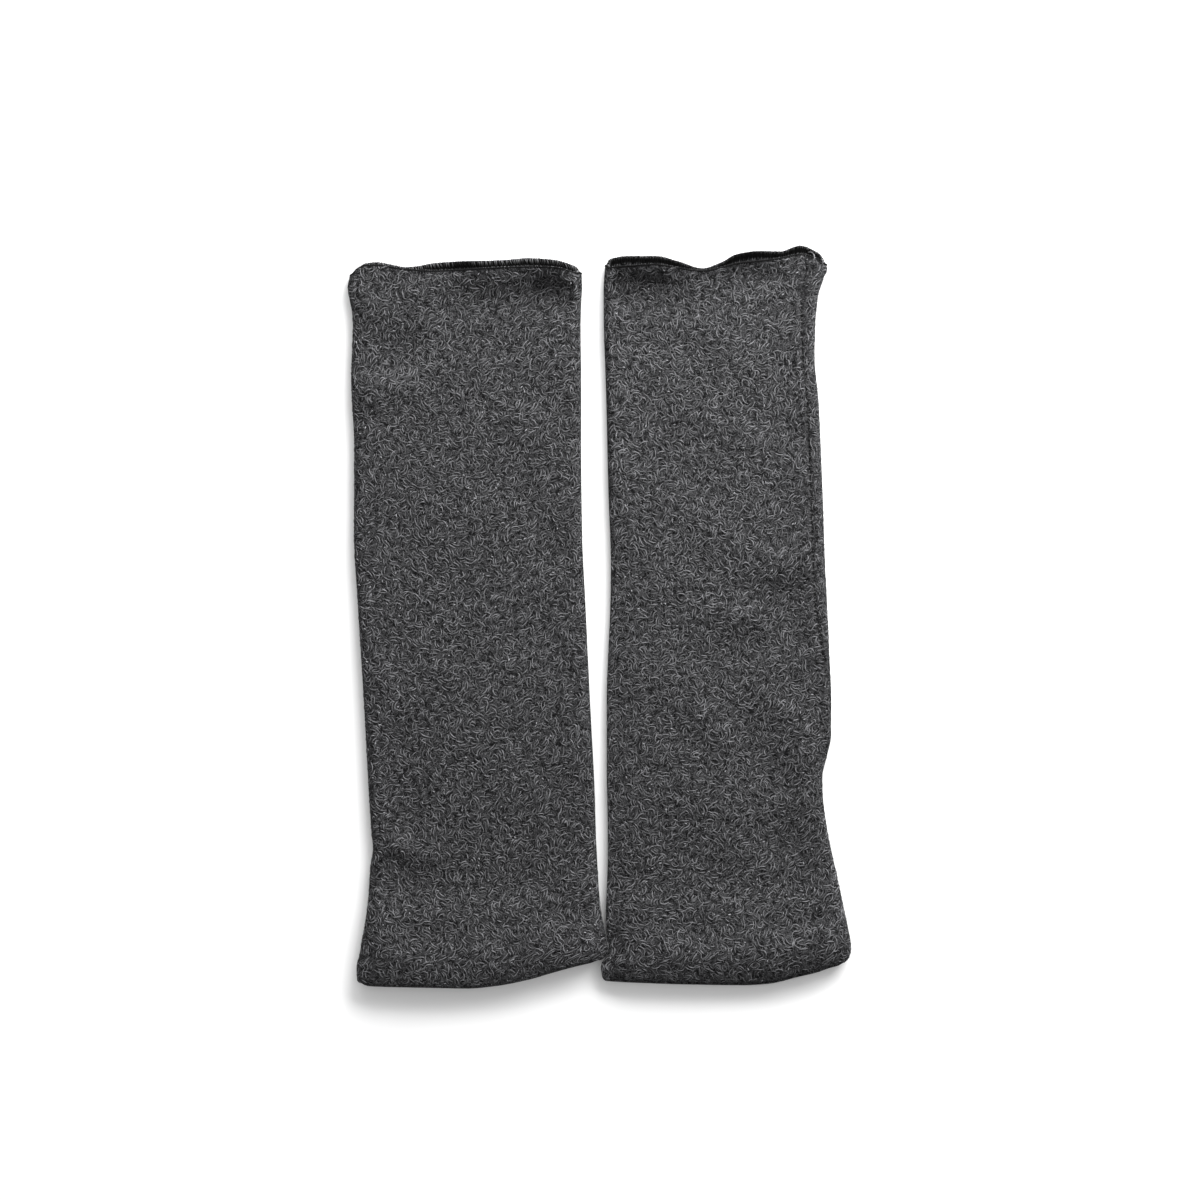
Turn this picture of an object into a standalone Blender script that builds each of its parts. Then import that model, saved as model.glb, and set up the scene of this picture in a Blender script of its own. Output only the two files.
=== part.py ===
"""A pair of long fingerless mittens in charcoal marl knit, laid flat side by side.

Each mitten is one knit panel folded lengthwise at its inner edge and closed by one overlocked
seam at its outer edge.  The hand end has a hem turned inside, and the arm end keeps a wavy
overlocked edge.  The tube is flattened: a front layer lies on a back layer, round at both folds.

X runs across the pair, Y from the hand end to the arm end, and Z up from the surface that the
pair lies on.  The origin is on that surface, under the middle of the pair.
"""

import math

import bmesh
import bpy
import numpy as np

# Driving sizes, in millimetres
MM = 0.001
WALL = 1.6                 # thickness of the knit
GAP = 0.3                  # clear space between neighbouring pieces
BODY_HEIGHT = 5.8          # height at the side folds, where two layers lie on each other
HEM_HEIGHT = 8.0           # height over the hem, where four layers lie on each other
HEM_DEPTH = 24.0           # how far the hem reaches up inside the tube
HEM_SLOPE = 11.0           # length over which the height falls from the hem to the body
TURN_RADIUS = WALL + GAP / 2          # outer radius of the turned edge of the hem
HEM_LAYERS = 2 * WALL + GAP           # thickness of the cloth with its hem behind it
SAG = 1.3                  # how far the front layer sinks between its two folds
SAG_WIDTH = 15.0           # how far from a fold the front layer has sunk all the way
SEAM_BAND = 9.0            # width of the strip beside the outer fold that has its own columns
STEP_FADE = 0.06           # share of the width over which the hem's step fades at a fold

# Seam allowance, the two overlocked cloth edges that lie inside the tube along the seam
ALLOWANCE_OUTER = 3.2      # distance of its outer side from the outline of the mitten
ALLOWANCE_INNER = 9.0      # distance of its free side from the outline of the mitten
ALLOWANCE_HEIGHT = 1.7     # height where it isn't pressed flatter
ALLOWANCE_CLEAR = 0.6      # clear space between it and the layer over it
ALLOWANCE_EDGE = 0.5       # height of its thin free side and its end bevel
ALLOWANCE_SHARE = 0.94     # where it lies, as a share of the width from the inner fold
ALLOWANCE_END = 1.5        # how far it stays back from the arm end and from the hem
ALLOWANCE_ROW = 9.0        # length of one row along it

# How finely the panels are divided
CAP_COLUMNS = 3            # columns round the inner fold, from mid height to the flat
FRONT_COLUMNS = 11         # columns across the flat of a front layer
BACK_COLUMNS = 9           # columns across the flat of a back layer
PLAIN_BAND_COLUMNS = 4     # columns beside the seam, where the panel stops short of the fold
WRAP_BAND_COLUMNS = 8      # columns beside the seam, where the panel wraps round the fold
MOUTH_ROWS, MOUTH_SHARE = 7, 0.14     # rows near the arm end, and their share of the length
PLAIN_ROWS, PLAIN_SHARE = 8, 0.60     # rows down to this share of the length
LOWER_ROWS = 12            # rows from there to the top of the hem
HEM_SHARES = (0.0, 0.12, 0.35, 0.65, 1.0)    # rows of the hem, as shares of its depth
TURN_STEPS = 4             # steps round the turned edge
PASSES = 3                 # how often a row's places are worked out again from its widths

# Shade of the knit, matched by eye
KNIT_COLOUR = (0.066, 0.066, 0.069, 1.0)
KNIT_ROUGHNESS = 0.95
SEAM_COLOUR = (0.030, 0.030, 0.032, 1.0)

# Left mitten.  Sides: y, x of the outer fold (left), x of the inner fold (right)
LEFT_SIDES = (
    (145.0, -102.4, -7.4),
    (141.5, -103.2, -7.2),
    (136.0, -104.2, -7.1),
    (129.0, -103.3, -7.5),
    (121.0, -102.3, -7.7),
    (99.0, -103.0, -7.5),
    (70.0, -101.9, -7.5),
    (35.0, -101.9, -7.1),
    (5.0, -100.2, -5.8),
    (-35.0, -97.8, -4.1),
    (-75.0, -95.6, -2.1),
    (-90.0, -94.5, -1.5),
    (-96.0, -93.8, -1.1),
    (-102.0, -94.8, -0.8),
    (-118.0, -96.0, 0.3),
    (-129.9, -97.7, 2.3),
    (-134.0, -98.5, 3.6),
    (-136.5, -98.9, 4.0),
    (-139.0, -99.3, 3.6),
    (-141.0, -99.7, 2.4),
    (-142.6, -100.2, 1.0),
    (-146.0, -100.7, 0.8),
    (-150.0, -100.5, 0.8),
    (-152.7, -99.8, 0.8),
)
# Arm end: share of the width from the inner fold, y of the front edge, y of the back edge
LEFT_MOUTH = (
    (0.00, 142.6, 143.4),
    (0.04, 143.2, 145.7),
    (0.13, 145.0, 148.6),
    (0.23, 145.4, 149.3),
    (0.36, 145.0, 148.6),
    (0.52, 144.2, 148.5),
    (0.65, 143.8, 147.0),
    (0.74, 144.4, 145.5),
    (0.80, 144.8, 145.4),
    (0.89, 146.3, 147.4),
    (0.95, 145.6, 146.3),
    (1.00, 142.6, 142.8),
)
# Hand end: share of the width from the inner fold, y of the turned edge
LEFT_HAND = (
    (0.00, -142.2),
    (0.04, -143.4),
    (0.09, -144.6),
    (0.21, -147.9),
    (0.28, -150.0),
    (0.36, -151.8),
    (0.43, -153.0),
    (0.55, -154.1),
    (0.72, -153.8),
    (0.90, -153.4),
    (0.97, -153.0),
    (1.00, -151.8),
)
# Folds of the front layer: x, y of the middle, length, width, angle in degrees, rise
LEFT_FOLDS = (
    (-57.0, 146.0, 24.0, 9.0, 4.0, 1.6),
    (-23.0, 146.0, 26.0, 9.0, -3.0, 2.2),
    (-57.0, 135.0, 26.0, 9.0, 6.0, -0.8),
    (-20.0, 133.0, 26.0, 10.0, -8.0, -1.0),
    (-86.0, 121.0, 42.0, 9.0, 29.0, -1.1),
    (-84.0, 102.0, 30.0, 13.0, 22.0, 0.8),
    (-86.5, -98.0, 20.0, 7.0, -8.0, -1.6),
    (-88.0, -86.0, 16.0, 10.0, 20.0, -0.7),
    (-66.0, -108.0, 24.0, 13.0, 30.0, -0.8),
    (-20.0, -117.0, 30.0, 12.0, -18.0, -0.8),
    (-45.0, 40.0, 60.0, 26.0, 35.0, -0.5),
    (-60.0, -40.0, 70.0, 24.0, -40.0, 0.6),
)
# Seam: y, distance round the outer fold from mid height, more than zero on the top
LEFT_SEAM = (
    (145.0, -6.4),
    (-50.0, -6.0),
    (-97.0, -3.4),
    (-125.0, -5.0),
    (-152.0, -5.0),
)
LEFT_HEM_STEP = 0.7        # how far the front's turned edge stays back from the back's
LEFT_THUMB = (-90.0, 40.0)     # y of the middle and length of the thumb gap in the seam

# Right mitten.  Sides: y, x of the inner fold (left), x of the outer fold (right)
RIGHT_SIDES = (
    (147.5, 2.4, 94.4),
    (144.5, 2.3, 94.5),
    (139.0, 1.9, 92.5),
    (133.0, 1.8, 90.8),
    (119.0, 1.9, 89.6),
    (108.0, 2.3, 89.2),
    (90.0, 2.9, 90.7),
    (55.0, 3.7, 92.0),
    (20.0, 4.8, 93.4),
    (5.0, 4.6, 94.6),
    (-15.0, 3.7, 95.5),
    (-35.0, 3.1, 96.3),
    (-48.0, 3.1, 96.3),
    (-58.0, 3.1, 94.2),
    (-66.0, 3.1, 92.4),
    (-72.0, 3.2, 92.5),
    (-88.0, 3.5, 94.4),
    (-100.0, 3.5, 96.9),
    (-125.0, 3.0, 102.3),
    (-131.0, 3.6, 103.5),
    (-134.0, 4.8, 104.1),
    (-136.5, 5.2, 104.3),
    (-139.0, 4.9, 104.2),
    (-141.0, 3.6, 103.6),
    (-142.8, 1.7, 102.6),
    (-144.6, 0.5, 102.6),
    (-147.5, 0.9, 102.6),
    (-150.4, 1.8, 102.6),
)
# Arm end: share of the width from the inner fold, y of the front edge, y of the back edge
RIGHT_MOUTH = (
    (0.00, 145.0, 145.6),
    (0.04, 145.4, 148.9),
    (0.10, 145.6, 150.1),
    (0.23, 146.3, 150.0),
    (0.33, 145.0, 147.8),
    (0.44, 143.9, 144.9),
    (0.52, 145.2, 147.2),
    (0.60, 147.0, 150.9),
    (0.70, 148.0, 152.1),
    (0.79, 149.2, 151.9),
    (0.88, 150.8, 154.3),
    (0.96, 149.8, 151.3),
    (1.00, 146.8, 147.0),
)
# Hand end: share of the width from the inner fold, y of the turned edge
RIGHT_HAND = (
    (0.00, -149.8),
    (0.03, -151.3),
    (0.12, -151.9),
    (0.35, -152.5),
    (0.58, -152.7),
    (0.68, -152.1),
    (0.73, -151.2),
    (0.78, -149.8),
    (0.88, -147.4),
    (0.93, -145.6),
    (0.98, -144.3),
    (1.00, -143.4),
)
# Folds of the front layer: x, y of the middle, length, width, angle in degrees, rise
RIGHT_FOLDS = (
    (17.0, 147.0, 30.0, 9.0, 2.0, 2.2),
    (60.0, 148.0, 26.0, 9.0, 8.0, 1.3),
    (80.0, 148.0, 16.0, 8.0, 10.0, -0.9),
    (18.0, 134.0, 32.0, 10.0, -14.0, -1.1),
    (60.0, 134.0, 34.0, 12.0, 6.0, -0.6),
    (84.0, 118.0, 24.0, 10.0, 60.0, 0.7),
    (79.0, 15.0, 26.0, 11.0, 40.0, -0.9),
    (58.0, 2.0, 26.0, 13.0, 10.0, -0.8),
    (63.0, -18.0, 24.0, 12.0, -20.0, -0.7),
    (70.0, -60.0, 40.0, 9.0, -50.0, -1.2),
    (86.0, -50.0, 20.0, 9.0, -55.0, 1.0),
    (88.0, -72.0, 18.0, 7.0, 12.0, -1.2),
    (88.0, -112.0, 14.0, 11.0, -20.0, -1.8),
    (40.0, -60.0, 70.0, 24.0, 55.0, 0.6),
    (35.0, 70.0, 70.0, 26.0, -30.0, -0.5),
)
# Seam: y, distance round the outer fold from mid height, more than zero on the top
RIGHT_SEAM = (
    (150.0, 10.5),
    (138.0, 8.0),
    (120.0, 6.6),
    (90.0, 6.3),
    (5.0, 6.6),
    (-10.0, 5.4),
    (-23.0, 3.6),
    (-36.0, 1.6),
    (-52.0, -0.8),
    (-75.0, -2.2),
    (-150.0, -2.8),
)
RIGHT_HEM_STEP = 1.4       # how far the front's turned edge stays back from the back's
RIGHT_THUMB = (-76.0, 40.0)    # y of the middle and length of the thumb gap in the seam

THUMB_PARTING = 1.2        # how far the two edges of the thumb gap lie apart at its middle

MITTENS = {
    "left": {
        "outer_column": 1, "inner_column": 2, "sides": LEFT_SIDES, "mouth": LEFT_MOUTH,
        "hand": LEFT_HAND, "folds": LEFT_FOLDS, "seam": LEFT_SEAM,
        "hem_step": LEFT_HEM_STEP, "thumb": LEFT_THUMB,
        "columns": {"front": WRAP_BAND_COLUMNS, "back": PLAIN_BAND_COLUMNS},
    },
    "right": {
        "outer_column": 2, "inner_column": 1, "sides": RIGHT_SIDES, "mouth": RIGHT_MOUTH,
        "hand": RIGHT_HAND, "folds": RIGHT_FOLDS, "seam": RIGHT_SEAM,
        "hem_step": RIGHT_HEM_STEP, "thumb": RIGHT_THUMB,
        "columns": {"front": PLAIN_BAND_COLUMNS, "back": WRAP_BAND_COLUMNS},
    },
}


def curve(at, table, index):
    """A smooth line through a table's rows, which never swings past them."""
    rows = np.array(sorted(table))
    knots, values = rows[:, 0], rows[:, index]
    steps = np.diff(knots)
    slopes = np.diff(values) / steps
    turns = slopes[:-1] * slopes[1:]
    safe = np.where(turns > 0, slopes[:-1] + slopes[1:], 1.0)
    middle = np.where(turns > 0, 2 * turns / safe, 0.0)
    tangents = np.concatenate((slopes[:1], middle, slopes[-1:]))
    at = np.clip(at, knots[0], knots[-1])
    i = np.clip(np.searchsorted(knots, at) - 1, 0, len(steps) - 1)
    t = (at - knots[i]) / steps[i]
    rest = 1 - t
    start = values[i] * (1 + 2 * t) + tangents[i] * steps[i] * t
    end = values[i + 1] * (1 + 2 * rest) - tangents[i + 1] * steps[i] * rest
    return start * rest ** 2 + end * t ** 2


def smoothstep(value):
    """0 below 0, 1 above 1, and a soft S between."""
    t = np.clip(value, 0, 1)
    return t * t * (3 - 2 * t)


def sides(mitten, y):
    """The x of the inner fold and of the outer fold at a place along the mitten."""
    inner = curve(y, mitten["sides"], mitten["inner_column"])
    outer = curve(y, mitten["sides"], mitten["outer_column"])
    return inner, outer


def mouth_y(mitten, share, on_top):
    """The y of the arm end's edge, on the front layer or on the back layer."""
    front = curve(share, mitten["mouth"], 1)
    back = curve(share, mitten["mouth"], 2)
    return np.where(on_top, front, back)


def hand_y(mitten, share, on_top):
    """The y of the hem's turned edge; the front's stays back from the back's by a small step."""
    step = mitten["hem_step"] * smoothstep(share / STEP_FADE) * smoothstep((1 - share) / STEP_FADE)
    return curve(share, mitten["hand"], 1) + np.where(on_top, step, 0.0)


def hem_share(from_edge):
    """1 over the hem and 0 over the plain body, from the distance to the turned edge."""
    return 1 - smoothstep((from_edge - TURN_RADIUS - HEM_DEPTH - 1.0) / HEM_SLOPE)


def height(from_edge):
    """Height of the flattened tube at its folds."""
    return BODY_HEIGHT + (HEM_HEIGHT - BODY_HEIGHT) * hem_share(from_edge)


def sink(mitten, x, y, across, width, from_edge):
    """How far the front layer stands above or below the height at the folds.

    It sags between the folds, and each row of the table adds a soft ridge or trough: a bell
    curve over its length and over its width.  The layer beneath stops it from sinking further.
    """
    edge = np.minimum(across, width - across) - height(from_edge) / 2
    rise = np.full_like(x, -SAG)
    for middle_x, middle_y, length, breadth, angle, amount in mitten["folds"]:
        turn = math.radians(angle)
        along = (x - middle_x) * math.cos(turn) + (y - middle_y) * math.sin(turn)
        beside = (y - middle_y) * math.cos(turn) - (x - middle_x) * math.sin(turn)
        rise += amount * np.exp(-(2 * along / length) ** 2 - (2 * beside / breadth) ** 2)
    rise *= smoothstep(edge / SAG_WIDTH)
    share = hem_share(from_edge)
    depth = 2 * (WALL + (HEM_LAYERS - WALL) * share) + GAP
    room = height(from_edge) - depth
    return np.where(rise < 0, room * np.tanh(rise / room), rise)


def section_point(mitten, top, distance, y, from_edge, inset):
    """A point of the flattened tube's section.

    distance runs round the outer face from mid height of the inner fold: a quarter circle, the
    flat, a half circle round the outer fold, and back over the other layer.  inset moves the
    point into the cloth.
    """
    inner, outer = sides(mitten, y)
    width = np.abs(outer - inner)
    way = np.sign(outer - inner)
    half = height(from_edge) / 2
    radius = half - inset
    quarter = half * math.pi / 2
    first = np.arcsin(np.minimum(GAP / 2 / radius, 1.0))
    inner_turn = first + (math.pi / 2 - first) * np.clip(distance / quarter, 0, 1)
    past_flat = distance - quarter - (width - 2 * half)
    outer_turn = past_flat / half
    past_fold = past_flat - math.pi * half
    places = (
        (distance < quarter, half - radius * np.cos(inner_turn), radius * np.sin(inner_turn)),
        (past_flat <= 0, half + distance - quarter, radius),
        (past_fold <= 0, width - half + radius * np.sin(outer_turn), radius * np.cos(outer_turn)),
    )
    across = np.select([place[0] for place in places], [place[1] for place in places],
                       width - half - past_fold)
    rise = np.select([place[0] for place in places], [place[2] for place in places], -radius)
    z = half + rise if top else half - rise
    x = inner + way * across
    lifted = sink(mitten, x, y, across, width, from_edge)
    z = z + np.where((z > half) & (across > half) & (across < width - half), lifted, 0.0)
    return np.stack((x, y, z), axis=-1)


def column_distances(mitten, top, count_flat, count_band, y, from_edge, inset):
    """Distances of a panel's columns round the section, from the inner fold to the seam."""
    inner, outer = sides(mitten, y)
    width = np.abs(outer - inner)
    half = height(from_edge) / 2
    quarter = half * math.pi / 2
    reach = math.pi * half + width - 2 * half
    seam = curve(y, mitten["seam"], 1)
    middle, length = mitten["thumb"]
    thumb = np.cos(np.clip((y - middle) / length, -0.5, 0.5) * math.pi) ** 2
    parting = GAP / 2 + THUMB_PARTING / 2 * thumb
    stretch = np.where(np.abs(seam) < quarter, half / (half - inset), 1.0)
    end = reach - (seam if top else -seam) - parting * stretch
    band = quarter + width - SEAM_BAND - half
    columns = [quarter * k / CAP_COLUMNS for k in range(CAP_COLUMNS)]
    columns += [quarter + (band - quarter) * k / count_flat for k in range(count_flat)]
    columns += [band + (end - band) * k / count_band for k in range(count_band + 1)]
    return np.stack(columns, axis=0)


def path_rows():
    """The way down the cloth: rows of the body, round the turned edge, and up the hem."""
    upper = np.linspace(0, MOUTH_SHARE, MOUTH_ROWS + 1)
    plain = np.linspace(MOUTH_SHARE, PLAIN_SHARE, PLAIN_ROWS + 1)[1:]
    lower = np.linspace(PLAIN_SHARE, 1, LOWER_ROWS + 1)[1:]
    rows = [("body", share) for share in np.concatenate((upper, plain, lower))]
    rows += [("over_hem", share) for share in reversed(HEM_SHARES[:-1])]
    rows += [("turn", math.pi * k / TURN_STEPS) for k in range(1, TURN_STEPS)]
    rows += [("hem", share) for share in HEM_SHARES]
    return rows


def place(row, face, mouth, hand):
    """The y, the distance to the turned edge, and the inset of one row on one face."""
    kind, value = row
    start = hand + TURN_RADIUS
    inset = 0.0 if face == "outer" else WALL
    radius = TURN_RADIUS if face == "outer" else GAP / 2
    if kind == "body":
        y = mouth + (start + HEM_DEPTH - mouth) * value
    elif kind == "turn":
        y = start - radius * math.sin(value)
        inset = TURN_RADIUS - radius * math.cos(value)
    else:
        y = start + HEM_DEPTH * value
        if kind == "hem":
            inset = HEM_LAYERS - inset
    return y, y - hand, inset


def panel_row(mitten, top, counts, row, face):
    """The points of one row of a panel on one face, from the inner fold to the seam."""
    total = CAP_COLUMNS + sum(counts) + 1
    share = np.linspace(0, 1, total)
    on_top = np.full(total, top)
    index = np.arange(total)
    for _ in range(PASSES):
        mouth = mouth_y(mitten, share, on_top)
        hand = hand_y(mitten, share, on_top)
        y, from_edge, inset = place(row, face, mouth, hand)
        distances = column_distances(mitten, top, *counts, y, from_edge, inset)[index, index]
        points = section_point(mitten, top, distances, y, from_edge, inset)
        inner, outer = sides(mitten, y)
        share = np.clip((points[:, 0] - inner) / (outer - inner), 0, 1)
        half = height(from_edge) / 2
        round_fold = distances > math.pi * half + np.abs(outer - inner) - 2 * half
        on_top = np.where(round_fold, not top, top)
    return points


def build_panel(name, mitten, top):
    """A front or a back: its outer face, its inner face and its rounded raw edges."""
    counts = ((FRONT_COLUMNS, mitten["columns"]["front"]) if top
              else (BACK_COLUMNS, mitten["columns"]["back"]))
    rows = path_rows()
    outside = [panel_row(mitten, top, counts, row, "outer") for row in rows]
    inside = [panel_row(mitten, top, counts, row, "inner") for row in rows]
    loop = outside + inside[::-1]
    return closed_sheet(name, np.array(loop), len(rows))


def closed_sheet(name, grid, rows):
    """A closed mesh from loops round the cloth: one quad strip a column, and two ladder ends."""
    around, columns = grid.shape[:2]
    points = grid.reshape(-1, 3) * MM
    faces = []
    for i in range(around):
        after = (i + 1) % around
        for k in range(columns - 1):
            faces.append((i * columns + k, i * columns + k + 1,
                          after * columns + k + 1, after * columns + k))
    for k in (0, columns - 1):
        for i in range(rows - 1):
            far = around - 1 - i
            faces.append((i * columns + k, (i + 1) * columns + k,
                          (far - 1) * columns + k, far * columns + k))
    return add_object(name, points, faces)


def add_object(name, points, faces):
    """A named object whose faces point out."""
    mesh = bpy.data.meshes.new(name)
    mesh.from_pydata([tuple(point) for point in points], [], faces)
    work = bmesh.new()
    work.from_mesh(mesh)
    bmesh.ops.recalc_face_normals(work, faces=work.faces[:])
    work.to_mesh(mesh)
    work.free()
    mesh.shade_smooth()
    mesh.set_sharp_from_angle(angle=math.radians(50))
    piece = bpy.data.objects.new(name, mesh)
    bpy.context.scene.collection.objects.link(piece)
    return piece


def build_allowance(name, mitten, y_start, y_end):
    """A seam allowance: a flat strip between the layers, thinner towards its free side."""
    count = max(2, int(abs(y_end - y_start) / ALLOWANCE_ROW))
    y = np.linspace(y_start, y_end, count + 1)
    inner, outer = sides(mitten, y)
    width = np.abs(outer - inner)
    way = np.sign(outer - inner)
    floor = WALL + GAP
    edges = []
    for from_outline in (ALLOWANCE_OUTER, ALLOWANCE_INNER):
        across = width - from_outline
        x = inner + way * across
        from_edge = y - hand_y(mitten, across / width, True)
        roof = height(from_edge) - WALL - ALLOWANCE_CLEAR
        roof = roof + np.minimum(sink(mitten, x, y, across, width, from_edge), 0)
        edges.append((x, np.minimum(roof, floor + ALLOWANCE_HEIGHT)))
    (outer_x, outer_top), (free_x, free_top) = edges
    bevel = ALLOWANCE_EDGE * way
    ring = (
        (outer_x, np.full_like(y, floor + ALLOWANCE_EDGE)),
        (outer_x, outer_top - ALLOWANCE_EDGE),
        (outer_x - bevel, outer_top),
        (free_x + bevel, free_top),
        (free_x, free_top - ALLOWANCE_EDGE),
        (free_x, np.full_like(y, floor)),
        (outer_x - bevel, np.full_like(y, floor)),
    )
    grid = np.stack([np.stack((x, y, z), axis=-1) for x, z in ring], axis=1)
    around = len(ring)
    points = grid.reshape(-1, 3) * MM
    faces = [(i * around + k, i * around + (k + 1) % around,
              (i + 1) * around + (k + 1) % around, (i + 1) * around + k)
             for i in range(count) for k in range(around)]
    faces.append(tuple(range(around)))
    faces.append(tuple(count * around + k for k in range(around)))
    return add_object(name, points, faces)


def cloth_material(name, colour):
    """A dull cloth finish."""
    material = bpy.data.materials.new(name)
    material.use_nodes = True
    shader = material.node_tree.nodes["Principled BSDF"]
    shader.inputs["Base Color"].default_value = colour
    shader.inputs["Roughness"].default_value = KNIT_ROUGHNESS
    shader.inputs["Metallic"].default_value = 0.0
    return material


def build_pair():
    """Both mittens, each of a front, a back and two runs of seam allowance."""
    for hand, mitten in MITTENS.items():
        panels = [build_panel(f"{hand}_front", mitten, True),
                  build_panel(f"{hand}_back", mitten, False)]
        middle, length = mitten["thumb"]
        arm_end = min(curve(np.array((ALLOWANCE_SHARE, 1.0)), mitten["mouth"], 1))
        hem_end = curve(ALLOWANCE_SHARE, mitten["hand"], 1) + TURN_RADIUS + HEM_DEPTH
        runs = {
            "seam_arm": (arm_end - ALLOWANCE_END, middle + length / 2),
            "seam_hand": (middle - length / 2, hem_end + ALLOWANCE_END),
        }
        panels += [build_allowance(f"{hand}_{run}", mitten, *ends) for run, ends in runs.items()]
        for panel in panels:
            shade = SEAM_COLOUR if "seam" in panel.name else KNIT_COLOUR
            panel.data.materials.append(cloth_material(panel.name, shade))


for old in list(bpy.data.objects):
    bpy.data.objects.remove(old, do_unlink=True)
build_pair()
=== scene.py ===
"""A pair of long fingerless mittens in charcoal marl knit, laid flat and seen from above.

The sizes in this file are millimetres; a mesh is written in metres.
"""

import math

import bpy
import numpy as np
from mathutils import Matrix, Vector


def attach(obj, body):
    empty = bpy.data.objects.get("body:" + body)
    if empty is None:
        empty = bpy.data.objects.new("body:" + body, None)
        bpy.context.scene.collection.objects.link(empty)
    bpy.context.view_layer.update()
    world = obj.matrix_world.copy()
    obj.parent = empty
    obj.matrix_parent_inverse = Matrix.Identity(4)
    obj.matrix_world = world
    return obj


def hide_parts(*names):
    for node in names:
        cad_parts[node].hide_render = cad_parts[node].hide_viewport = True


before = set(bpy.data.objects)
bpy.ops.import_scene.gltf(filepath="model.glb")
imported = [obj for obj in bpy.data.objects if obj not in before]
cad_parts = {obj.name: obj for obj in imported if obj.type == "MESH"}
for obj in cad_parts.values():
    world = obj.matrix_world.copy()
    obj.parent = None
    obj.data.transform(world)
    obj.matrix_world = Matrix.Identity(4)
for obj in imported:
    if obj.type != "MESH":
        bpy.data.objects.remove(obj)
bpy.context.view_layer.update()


# The knit panels
# Each mitten is one brushed marl panel, folded lengthwise at its inner edge and seamed at its
# outer edge.  Its hand end is turned inside as a hem, and its arm end is a wavy raw edge.
MM = 0.001
WALL = 1.6              # thickness of the knit
LAYER_GAP = 0.3         # air between the cloth and the hem behind it
PILE = 0.4              # height of the pressed fibres that the cloth rests on
BODY_HEIGHT = 5.8       # height of the flattened tube at its folds
HEM_HEIGHT = 8.0        # the same over the hem
HEM_DEPTH = 24.0        # how far the hem reaches up inside
HEM_SLOPE = 15.0        # length over which the height falls from the hem to the body
HEM_CLEAR = 1.0         # how far above the hem that fall starts
TURN_RADIUS = WALL + LAYER_GAP / 2
HEM_LAYERS = 2 * WALL + LAYER_GAP
SAG = 0.8               # how far the front sinks between its folds
SAG_WIDTH = 15.0        # how far from a fold it has sunk all the way
FOLD_FADE = 5.0         # how far from a fold the wrinkles have their whole height
STEP_FADE = 0.06        # share of the width over which the hem's step fades at a fold
LIP_FADE = 0.018        # share of the width over which the two lips meet at a fold
SEAM_DIP = 0.62         # how far the cloth rolls in at the seam
SEAM_ROLL = 0.7         # how wide that roll is
SEAM_RIDGE = 0.20       # how far it stands up above the roll
RIDGE_PLACE = 1.9       # distance of that ridge from the seam
RIDGE_WIDTH = 1.1       # how wide that ridge is
# the cloth under the overlock is painted near black: dark thread, and painted shade in the mouth
RAW_INNER = (3.2, 0.6)  # how far the overlock covers the inner face, and where it fades
RAW_OUTER = (0.7, 0.5)  # the same on the outer face
SEAM_PARTING = 0.06     # half the space between the two edges at the seam
HEM_CROWN = 2.6         # how far the hem is puffed up between its folds
CROWN_PLACE = 10.5      # distance of that crown from the turned edge
CROWN_WIDTH = 10.0      # how wide its fall towards the body is
CROWN_FALL = 17.0       # how wide its fall towards the turned edge is
CROWN_SAG = 0.6         # share of the sag that it takes away
EDGE_WIDTH = 5.5        # distance from the turned edge where its pressing has faded
PRESS_WIDTH = 8.0       # distance from the inner fold where its pressing has faded
ALLOWANCE_ROOM = 1.9    # height that the allowance takes inside, beside the seam
ALLOWANCE_SIDE = 13.0   # distance from the outer fold within which that room is kept
ALLOWANCE_FADE = 3.0    # length over which that room ends
THUMB_PARTING = 1.0     # space between the unsewn edges at mid thumb gap
CLOTH_COLUMNS = 58      # columns across a front or a back
CLOTH_ROWS = 130        # rows down the body
HEM_ROWS = 12           # rows up the hem
TURN_STEPS = 6          # steps round the turned edge
RIM_STEPS = 4           # steps round the raw edge
# how much finer the grid is at two ends, and the share of its length where it is
DENSE_COLUMNS = (1.5, 4.0, 0.05)  # inner fold, seam
DENSE_ROWS = (2.0, 0.5, 0.06)     # arm end, hem

# wavelength and amount of the long waves that keep the cloth uneven
UNEVEN = ((37, 0.20), (29, 0.18), (21, 0.13), (15, 0.07), (10, 0.035), (8, 0.03))
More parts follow.
